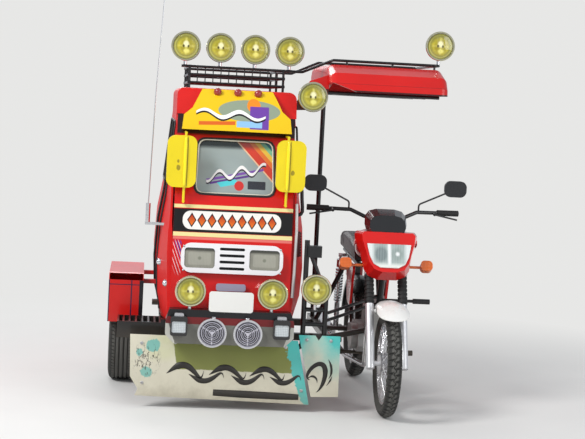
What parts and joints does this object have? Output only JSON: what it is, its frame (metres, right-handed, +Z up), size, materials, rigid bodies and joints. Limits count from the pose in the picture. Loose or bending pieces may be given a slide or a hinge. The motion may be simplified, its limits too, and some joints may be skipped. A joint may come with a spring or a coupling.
{
  "type": "motor tricycle with passenger sidecar cab",
  "caption": "Motor tricycle: a small motorcycle with a rider's canopy and a roofed passenger cab on its right, carried on its own wheel.",
  "frame": {"origin": "on the ground under the middle of the whole vehicle", "axes": "+X to the rider's left, +Y to the rear, +Z up; the cab is on the rider's right"},
  "size_m": [1.998, 2.0598, 2.26],
  "materials": {
    "fork_alloy": "satin",
    "black_rubber": "matte",
    "black_steel": "gloss",
    "red_plastic": "gloss",
    "clear_lens": "clear",
    "gloss_black": "gloss",
    "amber_lens": "gloss",
    "matte_black": "matte",
    "white_plastic": "gloss",
    "bright_rim": "polished",
    "tyre_rubber": "matte",
    "wheel_paint": "satin",
    "engine_alloy": "satin",
    "chrome_steel": "polished",
    "red_paint": "gloss",
    "seat_vinyl": "satin",
    "tinted_glass": "tinted",
    "checker_plate": "satin",
    "yellow_paint": "gloss",
    "white_paint": "gloss",
    "bumper_black": "gloss",
    "plate_white": "gloss",
    "lamp_rim_chrome": "polished",
    "yellow_lens": "tinted",
    "red_lens": "gloss",
    "board_paint": "painted",
    "yellow_plastic": "gloss"
  },
  "bodies": {
    "steering": {"fork": "fork_alloy", "fork_gaiters": "black_rubber", "handlebar": "black_steel", "grips": "black_rubber", "headlamp_mask": "red_plastic", "headlamp_glass": "clear_lens", "meter_cowl": "gloss_black", "turn_signals": "amber_lens", "bike_mirrors": "matte_black", "front_guard": "white_plastic"},
    "front_wheel_set": {"front_wheel": "bright_rim", "front_tyre": "tyre_rubber"},
    "rear_wheel_set": {"rear_wheel": "bright_rim", "rear_tyre": "tyre_rubber"},
    "side_wheel_set": {"side_wheel": "wheel_paint", "side_tyre": "tyre_rubber"},
    "vehicle": {"bike_frame": "black_steel", "engine": "engine_alloy", "exhaust": "chrome_steel", "fuel_tank": "red_paint", "rider_seat": "seat_vinyl", "swingarm": "black_steel", "rear_shocks": "chrome_steel", "rear_guard": "black_steel", "side_covers": "red_plastic", "chassis": "black_steel", "side_axle": "black_steel", "cab_face": "red_paint", "windshield": "tinted_glass", "cab_right": "red_paint", "cab_left": "red_paint", "cab_back": "red_paint", "cab_floor": "checker_plate", "bench_seat": "seat_vinyl", "bench_back": "seat_vinyl", "cab_roof": "red_paint", "brow": "yellow_paint", "grille": "white_paint", "cab_headlamps": "clear_lens", "bumper": "bumper_black", "number_plate": "plate_white", "bumper_lights": "chrome_steel", "lamp_bowls": "lamp_rim_chrome", "lamp_lenses": "yellow_lens", "red_lamps": "red_lens", "roof_rack": "black_steel", "canopy": "red_paint", "canopy_frame": "black_steel", "canopy_rail": "black_steel", "front_boards": "board_paint", "link_tubes": "black_steel", "cab_mirrors": "yellow_plastic", "side_fender": "red_paint", "side_step": "black_steel", "antenna": "chrome_steel"}
  },
  "joints": [
    {"name": "steering_turn", "type": "hinge", "parent": "vehicle", "child": "steering", "pos_m": [0.535, -0.70689, 0.27349], "axis": [0, 0.4462, 0.8949], "range_deg": [-30, 30]},
    {"name": "front_wheel_spin", "type": "hinge", "parent": "steering", "child": "front_wheel_set", "pos_m": [0.535, -0.74, 0.29], "axis": [1, 0, 0], "continuous": true},
    {"name": "rear_wheel_spin", "type": "hinge", "parent": "vehicle", "child": "rear_wheel_set", "pos_m": [0.535, 0.54, 0.296], "axis": [1, 0, 0], "continuous": true},
    {"name": "side_wheel_spin", "type": "hinge", "parent": "vehicle", "child": "side_wheel_set", "pos_m": [-0.912, 0.15, 0.276], "axis": [1, 0, 0], "continuous": true}
  ]
}
